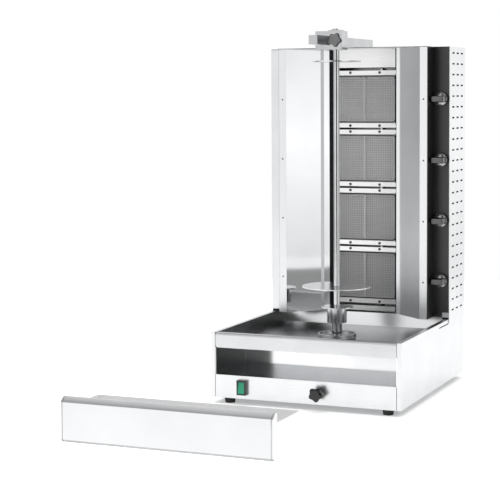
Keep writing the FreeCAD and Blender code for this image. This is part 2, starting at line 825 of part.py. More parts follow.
def injector(x, z):
    """Brass injector: a hexagon with the jet's nose inside the mixing tube."""
    hexagon = [(injector_radius * math.cos(math.radians(60 * i)), injector_radius *
                math.sin(math.radians(60 * i))) for i in range(6)]
    nut = extruded([outline(hexagon, point(x, mixing_y, z), Y, Z)], X * injector_length)
    nose_length = injector_length / 2
    nose = rod(point(x - nose_length, mixing_y, z), injector_radius / 2, nose_length, X)
    bridge = box(x - side_gap, x + sheet, mixing_y - mixing_radius, mixing_y + mixing_radius,
                 z - injector_radius / 2, z + injector_radius / 2)
    return joined([nut, nose, bridge])


def make_gas_line():
    nose_y = tower_setback + sheet + side_gap
    body_y = nose_y + valve_nose_length
    valves = []
    for z in burner_heights:
        valve = joined([
            box(gas_x - valve_width / 2, gas_x + valve_width / 2, body_y, valve_back,
                z - valve_height / 2, z + valve_height / 2),
            rod(point(gas_x, nose_y, z), valve_nose_radius, valve_nose_length + sheet, Y),
        ])
        bore = rod(point(gas_x, nose_y - sheet, z), stem_radius + running_gap,
                   stem_tail + knob_push + 2 * sheet, Y)
        valves.append(valve.cut(bore))
    save("gas_valves", *valves)

    pipe_y = valve_back + manifold_stub_length
    inlet_z = base_low + inlet_rise
    top = burner_heights[-1] + 2 * manifold_radius
    bend = manifold_bend
    turn = bend * (1 - math.cos(math.radians(45)))
    route = Part.Wire([
        Part.makeLine(point(manifold_x, pipe_y, top), point(manifold_x, pipe_y, inlet_z + bend)),
        Part.Arc(point(manifold_x, pipe_y, inlet_z + bend),
                 point(manifold_x, pipe_y + turn, inlet_z + turn),
                 point(manifold_x, pipe_y + bend, inlet_z)).toShape(),
        Part.makeLine(point(manifold_x, pipe_y + bend, inlet_z), point(manifold_x, base_depth, inlet_z)),
    ])
    start = point(manifold_x, pipe_y, top)
    pipe = route.makePipeShell([Part.Wire(Part.makeCircle(manifold_radius, start, Z))], True, False)
    bore = route.makePipeShell([Part.Wire(Part.makeCircle(manifold_bore, start, Z))], True, False)
    stubs = [rod(point(manifold_x, valve_back, z), manifold_stub_radius, manifold_stub_length, Y)
             for z in burner_heights]
    cap = rod(start - Z * sheet, manifold_radius, 2 * sheet, Z)
    save("gas_manifold", joined([joined([pipe] + stubs).cut(bore), cap]))

    hexagon = [(inlet_nut_radius * math.cos(math.radians(60 * i)), inlet_nut_radius *
                math.sin(math.radians(60 * i))) for i in range(6)]
    nut = extruded([outline(hexagon, point(manifold_x, base_depth, inlet_z), X, Z)], Y * inlet_nut_length)
    nipple = rod(point(manifold_x, base_depth, inlet_z), inlet_radius, inlet_nut_length + inlet_length, Y)
    bore = rod(point(manifold_x, base_depth - sheet, inlet_z), manifold_bore,
               inlet_nut_length + inlet_length + 2 * sheet, Y)
    save("gas_inlet", joined([nut, nipple]).cut(bore))


def make_knobs():
    """Four gas knobs, each on a stem that it pushes in and turns."""
    front = tower_setback - knob_proud
    skirt_back = tower_setback - knob_push - knob_clear
    skirt_front = skirt_back - knob_skirt
    for number, z in enumerate(burner_heights, 1):
        axis = point(gas_x, 0, z)
        skirt = Part.makeCone(knob_radius - skirt_taper, knob_radius, knob_skirt,
                              axis + Y * skirt_front, Y)
        base = outline(rectangle(grip_span / 2, grip_width / 2),
                       axis + Y * (skirt_front + grip_sink), X, Z)
        tip_w = grip_width - grip_taper
        tip = outline(rectangle(grip_front_span / 2, tip_w / 2), axis + Y * front, X, Z)
        grip = Part.makeLoft([base, tip], True, True)
        bore = rod(axis + Y * (skirt_back - stem_grip_depth), stem_radius + running_gap,
                   stem_grip_depth + beyond, Y)
        save("gas_knob_%d" % number, joined([skirt, grip]).cut(bore))
        stem_start = skirt_back - stem_grip_depth + side_gap
        stem_end = tower_setback + sheet + side_gap + stem_tail
        save("valve_stem_%d" % number, rod(axis + Y * stem_start, stem_radius, stem_end - stem_start, Y))


def star(x, y, z, thickness):
    """Five lobed hand wheel about a Y axis, front face at y."""
    arcs = []
    step = math.radians(360.0 / star_lobes)
    half = math.radians(star_lobe_half_angle)
    shoulder = star_radius * star_shoulder
    for i in range(star_lobes):
        middle = math.radians(90) + i * step
        spots = [(middle - half, shoulder), (middle, star_radius), (middle + half, shoulder)]
        lobe = [point(x + r * math.cos(a), y, z + r * math.sin(a)) for a, r in spots]
        arcs.append(Part.Arc(*lobe).toShape())
        valley = middle + step / 2
        low = point(x + star_valley * math.cos(valley), y, z + star_valley * math.sin(valley))
        after = middle + step - half
        end = point(x + shoulder * math.cos(after), y, z + shoulder * math.sin(after))
        arcs.append(Part.Arc(lobe[2], low, end).toShape())
    wheel = extruded([Part.Wire(arcs)], Y * thickness)
    return wheel.makeFillet(star_edge, [e for e in wheel.Edges if abs(e.BoundBox.YLength) < 0.01])


def make_drive():
    """Rails, carriage, gear motor, and the rod with the star knob that sets the spit's distance."""
    rails = []
    rail_front = spit_y - carriage_length / 2 - travel
    for side in (-1, 1):
        x = side * rail_x
        rails.append(box(x - rail_width / 2, x + rail_width / 2, rail_front, rail_back, rail_low, rail_top))
    save("carriage_rails", *rails)

    half = carriage_width / 2
    y0 = spit_y - carriage_length / 2
    y1 = spit_y + carriage_length / 2
    plate = box(-half, half, y0, y1, rail_top, carriage_top)
    lip = box(half - carriage_lip, half, y0, y1, rail_low + side_gap, carriage_top)
    lips = [lip, mirrored(lip)]
    bracket = box(rod_x - rod_bracket_width / 2, rod_x + rod_bracket_width / 2, rod_bracket_y,
                  rod_bracket_y + rod_bracket_thickness, rail_top, rod_z + rod_bracket_width / 2)
    tongue = box(rod_x - rod_bracket_width / 2, rod_x + rod_bracket_width / 2, rod_bracket_y, y0 + sheet,
                 rail_top, carriage_top)
    carriage = joined([plate] + lips + [bracket, tongue])
    bore = rod(point(rod_x, rod_bracket_y - sheet, rod_z), rod_radius + running_gap,
               rod_bracket_thickness + 2 * sheet, Y)
    save("drive_carriage", carriage.cut(bore))

    gearbox = box(-gearbox_width / 2, gearbox_width / 2, spit_y - gearbox_length / 2,
                  spit_y + gearbox_length / 2, carriage_top, gearbox_top)
    gearbox = gearbox.makeFillet(gearbox_corner, [e for e in gearbox.Edges if e.BoundBox.ZLength > beyond])
    boss = rod(point(0, spit_y, gearbox_top), gearbox_boss_radius, gearbox_boss, Z)
    motor_z = carriage_top + motor_radius
    motor = rod(point(0, spit_y + gearbox_length / 2, motor_z), motor_radius, motor_length, Y)
    drive = joined([gearbox, boss, motor])
    seat = rod(point(0, spit_y, gearbox_top + gearbox_boss - shaft_seat), shaft_radius + running_gap,
               shaft_seat + sheet, Z)
    save("gear_motor", drive.cut(seat))

    knob = star(rod_x, -star_front, rod_z, star_thickness)
    neck_y = -star_front + star_thickness
    neck = rod(point(rod_x, neck_y, rod_z), star_neck_radius, -bush_flange - side_gap - neck_y, Y)
    rod_end = rod_bracket_y + rod_bracket_thickness + side_gap + rod_stop
    shaft = rod(point(rod_x, neck_y, rod_z), rod_radius, rod_end - neck_y, Y)
    stops = [rod(point(rod_x, y, rod_z), rod_stop_radius, rod_stop, Y)
             for y in (rod_bracket_y - side_gap - rod_stop, rod_end - rod_stop)]
    save("lock_knob", joined([knob, neck, shaft] + stops))

    bush = joined([
        rod(point(rod_x, -bush_flange, rod_z), bush_flange_radius, bush_flange, Y),
        rod(point(rod_x, -bush_flange, rod_z), bush_radius, bush_flange + bush_length, Y),
    ])
    bore = rod(point(rod_x, -2 * bush_flange, rod_z), rod_radius + running_gap,
               bush_length + 4 * bush_flange, Y)
    save("rod_bush", bush.cut(bore))


def make_spit():
    axis = point(0, spit_y, 0)
    shaft_low = gearbox_top + gearbox_boss - shaft_seat + side_gap
    hub_low = pan_floor + hub_lift
    shaft = joined([
        rod(axis + Z * shaft_low, shaft_radius, hub_low - shaft_low, Z),
        rod(axis + Z * hub_low, hub_radius, hub_top - hub_low, Z),
    ])
    save("drive_shaft", shaft)

    floor_z = dish_low + dish_floor
    dish = joined([
        rod(axis + Z * dish_low, dish_radius, dish_height, Z).cut(
            rod(axis + Z * floor_z, dish_radius - dish_wall, dish_height, Z)),
        rod(axis + Z * floor_z, dish_boss_radius, dish_boss_height, Z),
    ])
    screw = rod(point(-dish_boss_radius - dish_screw_proud, spit_y, floor_z + dish_boss_height),
                dish_screw_radius, 2 * dish_screw_proud, X)
    dish = joined([dish, screw]).cut(rod(axis + Z * (dish_low - beyond), hub_radius + running_gap,
                                         2 * dish_height, Z))
    rim = [e for e in dish.Edges if e.Length > 2 * math.pi * (dish_radius - dish_wall) - beyond
           and abs(e.BoundBox.ZMax - dish_low - dish_height) < 0.01]
    save("drip_dish", dish.makeFillet(dish_rim_round, rim))

    top = socket_low + socket_height
    socket = joined([
        rod(axis + Z * socket_low, socket_radius, socket_height, Z),
        rod(axis + Z * top, socket_flange_radius, socket_flange, Z),
    ])
    socket = socket.cut(rod(axis + Z * (socket_low - beyond), hub_radius + running_gap,
                            hub_top - socket_low + beyond + side_gap, Z))
    socket = socket.cut(rod(axis + Z * hub_top, skewer_radius + running_gap, socket_height, Z))
    save("spit_socket", socket)

    skewer_low = hub_top + 2 * side_gap
    skewer = joined([
        rod(axis + Z * skewer_low, skewer_radius, skewer_top - skewer_point - skewer_low, Z),
        Part.makeCone(skewer_radius, skewer_radius / 2, skewer_point,
                      axis + Z * (skewer_top - skewer_point), Z),
    ])
    save("skewer", skewer)

    plate_low = meat_plate_top - meat_plate_thickness
    plate = joined([
        rod(axis + Z * plate_low, meat_plate_radius, meat_plate_thickness, Z),
        rod(axis + Z * (plate_low - meat_boss_height), meat_boss_radius, meat_boss_height, Z),
    ])
    hole = rod(axis + Z * (plate_low - 2 * meat_boss_height), skewer_radius + running_gap,
               4 * meat_boss_height, Z)
    save("meat_plate", plate.cut(hole))

    disc = tube(axis + Z * disc_low, disc_radius, skewer_radius + running_gap, disc_thickness, Z)
    save("top_disc", disc)


def make_top_bracket():
    """Square arm on the roof, and the bracket on it that holds the spit's upper end."""
    half = arm_side / 2
    arm = box(arm_x - half, arm_x + half, arm_front, base_depth, arm_low, arm_top)
    bore = box(arm_x - half + arm_wall, arm_x + half - arm_wall, arm_front + arm_cap, base_depth - arm_cap,
               arm_low + arm_wall, arm_top - arm_wall)
    save("support_arm", arm.cut(bore))
    mount_back = base_depth - arm_mount_from_back
    save("arm_mount", box(arm_x - arm_mount_width / 2, arm_x + arm_mount_width / 2,
                          mount_back - arm_mount_length, mount_back, tower_top, arm_low))

    front = spit_y - bracket_front
    back = spit_y + bracket_back
    block = box(-bracket_left, bracket_right, front, back, bracket_low, bracket_top)
    arm_room = box(arm_x - half - arm_fit, arm_x + half + arm_fit, front - sheet, back + sheet,
                   arm_low - arm_fit, arm_top + arm_fit)
    end_room = box(-skewer_radius - head_side_gap, head_room, spit_y - head_room, spit_y + head_room,
                   bearing_top, arm_top + arm_fit)
    bearing_hole = rod(point(0, spit_y, bracket_low - beyond), bearing_radius + bearing_seat_gap,
                       bearing_top - bracket_low + 2 * beyond, Z)
    plunger_hole = rod(point(0, spit_y, arm_top), plunger_radius + running_gap, 3 * bracket_above_arm, Z)
    stud_hole = rod(point(top_knob_x, front - beyond, arm_z), top_stud_radius + running_gap,
                    top_stud_seat + beyond, Y)
    plate = box(-lock_plate_length / 2, lock_plate_length / 2, spit_y - lock_plate_depth / 2,
                spit_y + lock_plate_depth / 2, bracket_top, bracket_top + lock_plate)
    guide = rod(point(guide_pin_x, spit_y, bracket_top + lock_plate), guide_pin_radius, guide_pin_height, Z)
    block = joined([block, plate, guide])
    block = block.cut([arm_room, end_room, bearing_hole, plunger_hole, stud_hole])
    save("top_bracket", block)

    bearing = joined([
        rod(point(0, spit_y, bracket_low), bearing_radius, bearing_top - bracket_low, Z),
        rod(point(0, spit_y, bracket_low - bearing_flange), bearing_flange_radius, bearing_flange, Z),
    ])
    bearing = bearing.cut(rod(point(0, spit_y, bracket_low - 2 * bearing_flange),
                              skewer_radius + running_gap, 4 * bracket_below_arm, Z))
    save("top_bearing", bearing)

    knob_y = front - top_knob_front
    knob = star(top_knob_x, knob_y, arm_z, star_thickness)
    stud = rod(point(top_knob_x, knob_y + star_thickness, arm_z), top_stud_radius,
               top_knob_front - star_thickness + top_stud_seat - top_stud_end_gap, Y)
    save("top_knob", joined([knob, stud]))

    plunger_low = skewer_top + plunger_gap
    head_low = bracket_top + lock_plate
    plunger = joined([
        rod(point(0, spit_y, plunger_low), plunger_radius, head_low - plunger_low, Z),
        rod(point(0, spit_y, head_low), plunger_head_radius, plunger_head, Z),
    ])
    save("top_plunger", plunger)


def make_fasteners():
    parts = []
    for z in burner_heights:
        for side in (-1, 1):
            start = point(side * rivet_x, cheek_front - rivet_head, z)
            parts.append(rod(start, rivet_radius, rivet_head, Y))
    inset = tower_half - sheet - side_gap - back_screw_inset
    low = base_top + side_gap + back_screw_inset
    high = tower_top - sheet - side_gap - back_screw_inset
    for side in (-1, 1):
        for row in range(3):
            z = low + (high - low) * row / 2
            parts.append(rod(point(side * inset, base_depth, z), back_screw_radius, back_screw_head, Y))
    save("casing_screws", *parts)

    gland_z = base_low + gland_rise
    gland = joined([
        rod(point(gland_x, base_depth, gland_z), gland_nut_radius, gland_nut, Y),
        rod(point(gland_x, base_depth - 2 * sheet, gland_z), gland_radius, gland_length, Y),
    ])
    save("cable_gland", gland.cut(rod(point(gland_x, base_depth - 3 * sheet, gland_z), gland_bore,
                                      gland_length + 2 * sheet, Y)))


make_base()
make_pan()
make_drawer()
make_switch()
make_tower()
make_burner_surround()
make_burners()
make_gas_line()
make_knobs()
make_drive()
make_spit()
make_top_bracket()
make_fasteners()
print("origin is %.2f mm behind the front plane of the base" % origin_y)
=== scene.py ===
"""Gas kebab grill: looks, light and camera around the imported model, in metres."""
import math

import bmesh
import bpy
from mathutils import Matrix, Vector


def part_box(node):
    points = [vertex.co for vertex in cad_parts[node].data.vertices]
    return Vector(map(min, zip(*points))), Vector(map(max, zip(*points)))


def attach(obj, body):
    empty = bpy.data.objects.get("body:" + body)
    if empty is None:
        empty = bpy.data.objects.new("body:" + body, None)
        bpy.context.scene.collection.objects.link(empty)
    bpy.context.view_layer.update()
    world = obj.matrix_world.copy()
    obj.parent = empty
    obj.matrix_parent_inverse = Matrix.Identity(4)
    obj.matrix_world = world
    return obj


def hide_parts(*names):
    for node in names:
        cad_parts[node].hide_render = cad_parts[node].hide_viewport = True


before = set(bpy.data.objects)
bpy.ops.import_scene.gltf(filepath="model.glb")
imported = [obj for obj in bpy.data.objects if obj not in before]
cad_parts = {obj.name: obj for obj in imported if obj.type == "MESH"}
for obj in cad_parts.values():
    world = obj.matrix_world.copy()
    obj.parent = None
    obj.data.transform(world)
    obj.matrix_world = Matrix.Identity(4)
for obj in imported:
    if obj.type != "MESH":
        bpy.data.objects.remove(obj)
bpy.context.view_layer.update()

scene = bpy.context.scene

MM = 0.001
BURNERS = (1, 2, 3, 4)
FRONT = Vector((0, -1, 0))
BACK = Vector((0, 1, 0))
UP = Vector((0, 0, 1))

# a Mix node has sockets for numbers, vectors and colours: these are the colour ones
COLOUR_A = 6
COLOUR_B = 7
COLOUR_OUT = 2

# camera, fitted to the photograph
camera_place = (1.4422, -3.66175, 0.8431)
camera_azimuth = 22.955          # degrees to the right of straight ahead
camera_pitch = 4.003             # degrees downward
camera_roll = -0.342
focal_pixels = 1532.2
picture_pixels = 500
frame_raise = 50                 # pixels that the picture is moved up
sensor_width = 36.0

# depths, from the front to the rear, at which a piece's finish changes
lip_back = 0.125
slot_middle = 0.2
pan_middle = 0.4
jamb_front = 0.55

# drawer front
end_flange = 3.4 * MM
flange_gap = 1.2 * MM
core_inset = 1.0 * MM            # dark core behind the gaps, inside the front's back

# studio
# small parts that the photograph's wings don't show clearly, so no steel mirrors them
unmirrored = ("top_disc", "meat_plate", "top_bracket", "top_bearing", "support_arm")
room_strength = 1.45
softbox_power = 120.0
softbox_size = 4.0
softbox_height = 3.2
floor_radius = 3.0
floor_glow = 0.25
board_edges = (-1.0, 1.0, -2.42, -1.0)    # left, right, far and near, before it is turned
board_turn = math.radians(60)

# burner gauze
wire_pitch = 6.8 * MM            # real gauze is about half of this, drawn as coarse as it shows
wire_radius = 0.75 * MM
gauze_rim = 1.6 * MM
seam_spread = 1.7 * MM
seam_radius = 1.0 * MM
gasket_width = 3.4 * MM
gauze_corner = 7.0 * MM
gasket_corner = 4.0 * MM

# knobs
grip_back = (36.0 * MM, 19.0 * MM)
grip_front = (33.5 * MM, 16.5 * MM)
grip_corner = 3.0 * MM
star_lobes = 5
star_turn = math.radians(-26)    # from a lobe that points left, clockwise in the photograph
star_radius = 20.0 * MM
star_thickness = 18.0 * MM
star_hub = 17.0 * MM             # from the star's front to where its rod begins
rod_stop = 4.0 * MM
rod_stops_apart = 4.6 * MM       # between the two stops, where the carriage's bracket is


def linear(code):
    """Turn an sRGB hex colour into the linear colour that a shader takes."""
    values = [int(code[i:i + 2], 16) / 255 for i in (0, 2, 4)]
    return [v / 12.92 if v <= 0.04045 else ((v + 0.055) / 1.055) ** 2.4 for v in values] + [1.0]


def add(tree, kind, inputs=None, stops=(), **settings):
    """Add a node with its settings, and link or fill its inputs."""
    node = tree.nodes.new(kind)
    for name, value in settings.items():
        setattr(node, name, value)
    for place, (position, colour) in enumerate(stops):
        ramp = node.color_ramp.elements
        stop = ramp[place] if place < len(ramp) else ramp.new(position)
        stop.position = position
        stop.color = colour
    for name, value in (inputs or {}).items():
        if isinstance(value, bpy.types.NodeSocket):
            tree.links.new(value, node.inputs[name])
        else:
            node.inputs[name].default_value = value
    return node


def grey(value):
    return (value, value, value, 1.0)


def new_material(name, **inputs):
    """Start a material: its tree, its shader and the object's own coordinates in metres."""
    material = bpy.data.materials.new(name)
    material.use_nodes = True
    tree = material.node_tree
    tree.nodes.clear()
    shader = add(tree, "ShaderNodeBsdfPrincipled", {k.replace("_", " "): v for k, v in inputs.items()})
    output = add(tree, "ShaderNodeOutputMaterial")
    tree.links.new(shader.outputs["BSDF"], output.inputs["Surface"])
    place = add(tree, "ShaderNodeTexCoord").outputs["Object"]
    return material, tree, shader, place


def pattern(tree, place, size, stretch=(1, 1, 1), detail=2.0, rough=0.5):
    """Noise whose features are size long, drawn out along the axes where stretch is above 1."""
    scale = [1 / (size * s) for s in stretch]
    mapped = add(tree, "ShaderNodeMapping", {"Vector": place, "Scale": scale})
    noise = add(tree, "ShaderNodeTexNoise", {
        "Vector": mapped.outputs["Vector"], "Scale": 1.0, "Detail": detail, "Roughness": rough})
    return noise.outputs["Fac"]


def spread(tree, value, low, high):
    """Map a pattern's middle range to low..high."""
    node = add(tree, "ShaderNodeMapRange", {
        "Value": value, "From Min": 0.3, "From Max": 0.7, "To Min": low, "To Max": high})
    return node.outputs["Result"]


def surface(tree, shader, colour, dark, tone, rough_low, rough_high, wear, bumps, edge=0.6 * MM):
    """Give a shader its colour range, roughness range, bumps and softened edges."""
    mixed = add(tree, "ShaderNodeMix", {0: tone, COLOUR_A: linear(dark), COLOUR_B: linear(colour)},
                data_type="RGBA")
    tree.links.new(mixed.outputs[COLOUR_OUT], shader.inputs["Base Color"])
    tree.links.new(spread(tree, wear, rough_low, rough_high), shader.inputs["Roughness"])
    normal = add(tree, "ShaderNodeBevel", {"Radius": edge}, samples=3).outputs["Normal"]
    for height, strength, depth in bumps:
        normal = add(tree, "ShaderNodeBump", {
            "Height": height, "Strength": strength, "Distance": depth, "Normal": normal}).outputs["Normal"]
    tree.links.new(normal, shader.inputs["Normal"])


def sums(tree, operation, first, second=0.0):
    """One step of arithmetic on two numbers, either of which may be a socket."""
    return add(tree, "ShaderNodeMath", {0: first, 1: second}, operation=operation).outputs[0]


def looks_along(tree, axis, least):
    """1 where a face of the object looks along an axis, 0 elsewhere."""
    upright = add(tree, "ShaderNodeTexCoord").outputs["Normal"]
    turned = add(tree, "ShaderNodeSeparateXYZ", {"Vector": upright})
    return sums(tree, "GREATER_THAN", sums(tree, "ABSOLUTE", turned.outputs[axis]), least)


def behind(tree, place, depth):
    """1 for what lies further back than depth, 0 in front of it."""
    apart = add(tree, "ShaderNodeSeparateXYZ", {"Vector": place})
    return sums(tree, "GREATER_THAN", apart.outputs["Y"], depth)


def facing(axis, least):
    """Choose the faces of an object that look along an axis."""
    return lambda tree, place: looks_along(tree, axis, least)


def further_back(depth):
    """Choose what lies further back than depth."""
    return lambda tree, place: behind(tree, place, depth)


def rear_wall(depth):
    """Choose the faces behind depth that look to the front or back."""
    return lambda tree, place: sums(tree, "MULTIPLY", behind(tree, place, depth),
                                    looks_along(tree, "Y", 0.9))


def side_before(depth):
    """Choose the faces in front of depth that look to the left or right."""
    def choose(tree, place):
        before = sums(tree, "SUBTRACT", 1.0, behind(tree, place, depth))
        return sums(tree, "MULTIPLY", before, looks_along(tree, "X", 0.9))
    return choose


def copied(source, name, choose):
    """Copy a material. Give the copy, its tree and shader, and the mask that choose makes."""
    material = source.copy()
    material.name = name
    tree = material.node_tree
    shader = next(node for node in tree.nodes if node.type == "BSDF_PRINCIPLED")
    mask = choose(tree, add(tree, "ShaderNodeTexCoord").outputs["Object"])
    return material, tree, shader, mask


def refinish(source, name, choose, colour, rough):
    """Copy a material and change its colour and roughness where choose gives 1."""
    material, tree, shader, mask = copied(source, name, choose)
    flat = shader.inputs["Base Color"].links[0].from_socket
    even = shader.inputs["Roughness"].links[0].from_socket
    mixed = add(tree, "ShaderNodeMix", {0: mask, COLOUR_A: flat, COLOUR_B: linear(colour)},
                data_type="RGBA")
    tree.links.new(mixed.outputs[COLOUR_OUT], shader.inputs["Base Color"])
    mixed = add(tree, "ShaderNodeMix", {0: mask, 2: even, 3: rough})
    tree.links.new(mixed.outputs[0], shader.inputs["Roughness"])
    return material


def leaning(source, name, choose, lean):
    """Copy a sheet's material and let its face lean by a vector where choose gives 1."""
    material, tree, shader, mask = copied(source, name, choose)
    upright = shader.inputs["Normal"].links[0].from_socket
    shift = add(tree, "ShaderNodeVectorMath", {0: lean, "Scale": mask}, operation="SCALE")
    tilted = add(tree, "ShaderNodeVectorMath", {0: upright, 1: shift.outputs[0]}, operation="ADD")
    even = add(tree, "ShaderNodeVectorMath", {0: tilted.outputs[0]}, operation="NORMALIZE")
    tree.links.new(even.outputs[0], shader.inputs["Normal"])
    return material


# how far the grinding lines are drawn out along X, Y and Z
GRAIN = {"x": (60, 1, 1), "y": (1, 60, 1), "z": (1, 1, 60), "round": (60, 60, 1), "none": (1, 1, 1)}


def steel_sheet(name, colour, dark, rough_low, rough_high, grain, wave, wave_depth,
                grain_size=1.2 * MM, lines_felt=0.12, metal=1.0):
    """Metal sheet: grain is the way that the grinding lines run, wave its slight unevenness."""
    material, tree, shader, place = new_material(name, Metallic=metal)
    lines = pattern(tree, place, grain_size, GRAIN[grain], 3.0, 0.6)
    clouds = pattern(tree, place, 90 * MM)
    swell = pattern(tree, place, wave, detail=1.0)
    surface(tree, shader, colour, dark, spread(tree, clouds, 0.0, 1.0), rough_low, rough_high, lines,
            ((swell, 1.0, wave_depth), (lines, lines_felt, 0.03 * MM)))
    return material


def moulded(name, colour, dark, rough_low, rough_high, texture, depth, **inputs):
    """Moulded or painted skin: texture is the size of its fine relief."""
    material, tree, shader, place = new_material(name, **inputs)
    relief = pattern(tree, place, texture, detail=3.0)
    clouds = pattern(tree, place, 25 * MM)
    surface(tree, shader, colour, dark, clouds, rough_low, rough_high, clouds, ((relief, 0.5, depth),))
    return material


# Stainless sheet with a satin ground finish. Its lines are about 0.1 mm apart and too fine to show,
# so they are drawn 1.2 mm apart. The eye sees a soft, nearly white sheen with faint level streaks.
satin_stainless = steel_sheet("satin_stainless", "DADBDC", "D5D6D7", 0.27, 0.31, "x", 400 * MM, 0.06 * MM,
                              lines_felt=0.05)
satin_upright = steel_sheet("satin_upright", "DADBDC", "D5D6D7", 0.27, 0.31, "z", 400 * MM, 0.06 * MM,
                            lines_felt=0.05)
# Bright annealed stainless, close to a mirror. The eye sees soft reflections that bend a little.
mirror_stainless = steel_sheet("mirror_stainless", "DDDEDF", "D9DADB", 0.035, 0.05, "z", 260 * MM, 0.15 * MM,
                               lines_felt=0.0)
# The same sheet on the right, dulled by heat and wiping: an even grey with no clear reflection.
dulled_stainless = steel_sheet("dulled_stainless", "EEEFF0", "E9EAEB", 0.34, 0.4, "z", 260 * MM, 0.05 * MM,
                               lines_felt=0.03)
# Cold rolled stainless of the pan and the drawer housing, a little cloudy, with wiping marks.
pan_stainless = steel_sheet("pan_stainless", "E2E3E4", "DADBDC", 0.17, 0.22, "x", 180 * MM, 0.10 * MM,
                            lines_felt=0.02)
housing_stainless = steel_sheet("housing_stainless", "F2F2F3", "EBECED", 0.10, 0.14, "x", 300 * MM,
                                0.05 * MM, lines_felt=0.0)
# The pan's lip is rolled from the same sheet and has been cleaned to a grey satin.
lip_stainless = steel_sheet("lip_stainless", "CBCCCD", "C5C6C7", 0.22, 0.28, "x", 300 * MM, 0.06 * MM,
                            lines_felt=0.04)
# Fine satin stainless of the drawer, whiter and duller than the casing.
drawer_stainless = steel_sheet("drawer_stainless", "DCDDDE", "D8D9DA", 0.32, 0.38, "x", 500 * MM, 0.05 * MM,
                               lines_felt=0.04)
# Its chamfers in painted shade: the upper one a touch darker than the front, the lower one grey, for the
# shade that it would mirror from under the drawer.
upper_fold_painted_shade = steel_sheet("upper_fold_painted_shade", "DADBDD", "D4D5D7", 0.3, 0.36, "x", 500 * MM, 0.05 * MM,
                             lines_felt=0.04)
lower_fold_painted_shade = steel_sheet("lower_fold_painted_shade", "9C9D9F", "959698", 0.3, 0.36, "x", 500 * MM, 0.05 * MM,
                           lines_felt=0.04)
# Ground bar and machined plate of the arm: crisp, with short lines.
ground_bar = steel_sheet("ground_bar_steel", "B9BABC", "AFB0B2", 0.16, 0.22, "y", 200 * MM, 0.05 * MM)
# Turned stainless of the spit: lines run round it and are drawn 0.8 mm apart.
turned_stainless = steel_sheet("turned_stainless", "CCCDCE", "C1C2C4", 0.12, 0.16, "round", 120 * MM,
                               0.02 * MM, 0.8 * MM, lines_felt=0.04)
# Aluminised steel of the burner housings, pressed and dulled by heat.
aluminised_steel = steel_sheet("aluminised_steel", "EBEBEB", "E5E5E5", 0.26, 0.32, "x", 90 * MM, 0.08 * MM,
                               lines_felt=0.03)
# Heat resisting wire, blasted grey by the flame: no clear reflection is left.
oxidised_wire = steel_sheet("oxidised_wire", "E4E4E4", "DADADA", 0.4, 0.5, "none", 40 * MM, 0.05 * MM,
                            lines_felt=0.0)
# The pressed seam of the gauze is rubbed bright.
bright_wire = steel_sheet("bright_wire", "F0F0F0", "E6E6E6", 0.4, 0.5, "none", 40 * MM, 0.05 * MM,
                          lines_felt=0.0)
# Zinc plated screws, dark in their dull passivation.
zinc_plated = steel_sheet("zinc_plated_steel", "6E6F73", "515257", 0.3, 0.42, "none", 20 * MM, 0.02 * MM)


def galvanised_sheet():
    """Hot dipped sheet: flat zinc crystals of about 9 mm, each a slightly different grey."""
    material, tree, shader, place = new_material("galvanised_sheet", Metallic=1.0)
    crystals = add(tree, "ShaderNodeTexVoronoi", {"Vector": place, "Scale": 1 / (9 * MM)})
    tone = add(tree, "ShaderNodeSeparateColor", {"Color": crystals.outputs["Color"]}).outputs[0]
    surface(tree, shader, "C3C6C8", "9DA1A4", tone, 0.34, 0.5, tone, ((tone, 0.2, 0.03 * MM),))
    return material


def ceramic_plate():
    """Cordierite burner tile: pale grey, matt, with a grid of fine flame holes 3 mm apart."""
    material, tree, shader, place = new_material("cordierite_tile", Roughness=0.85)
    holes = add(tree, "ShaderNodeTexVoronoi", {"Vector": place, "Scale": 1 / (3 * MM), "Randomness": 0.0})
    open_part = add(tree, "ShaderNodeMapRange", {
        "Value": holes.outputs["Distance"], "From Min": 0.2, "From Max": 0.4}).outputs["Result"]
    surface(tree, shader, "BDBDBD", "868686", open_part, 0.8, 0.9, pattern(tree, place, 2 * MM),
            ((open_part, 0.8, 0.5 * MM),))
    return material


# Roof sheet whose edge faces carry painted shade, dark grey, for the line of shadow along the roof's edge.
roof_edge_painted_shade = refinish(satin_stainless, "roof_edge_painted_shade", facing("X", 0.5), "4A4B4D", 0.4)
roof_edge_painted_shade = refinish(roof_edge_painted_shade, "roof_edge_painted_shade_front", facing("Y", 0.5), "4A4B4D", 0.4)
# Left wing: a mirror on its slant, satin on its cheek, painted shade in grey on its jamb, and a return
# beside the burners that has bowed in the heat, so that it shows the bright room.
left_wing = refinish(mirror_stainless, "left_wing_stainless", facing("Y", 0.95), "DCDDDE", 0.28)
left_wing = refinish(left_wing, "left_wing_jamb_painted_shade", rear_wall(jamb_front), "B4B5B7", 0.3)
left_wing = leaning(left_wing, "left_wing_bowed_return", facing("X", 0.95), (0, -1.35, 0))
# Right wing: its slant is wiped to an even grey with no clear reflection, its cheek is satin.
right_wing = refinish(dulled_stainless, "right_wing_stainless", facing("Y", 0.95), "E4E5E6", 0.25)
# Plate round the burners: near black with painted shade, for the dark gaps between the burners, but not the
# hood before it.
plate_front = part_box("burner_surround")[0].y + 1.5 * MM
plate_painted_shade = refinish(aluminised_steel, "plate_painted_shade_steel", further_back(plate_front),
                          "38393A", 0.45)
# Slot of the drawer: a rear wall that leans and mirrors the room, ends near black with painted shade, a
# floor rubbed dull.
drawer_slot = refinish(housing_stainless, "rubbed_housing_stainless", facing("Z", 0.7), "DEDFE0", 0.2)
drawer_slot = refinish(drawer_slot, "housing_ends_painted_shade", facing("X", 0.9), "2C2D2E", 0.3)
drawer_slot = leaning(drawer_slot, "leaning_housing_stainless", rear_wall(slot_middle), (0, 0, 0.09))
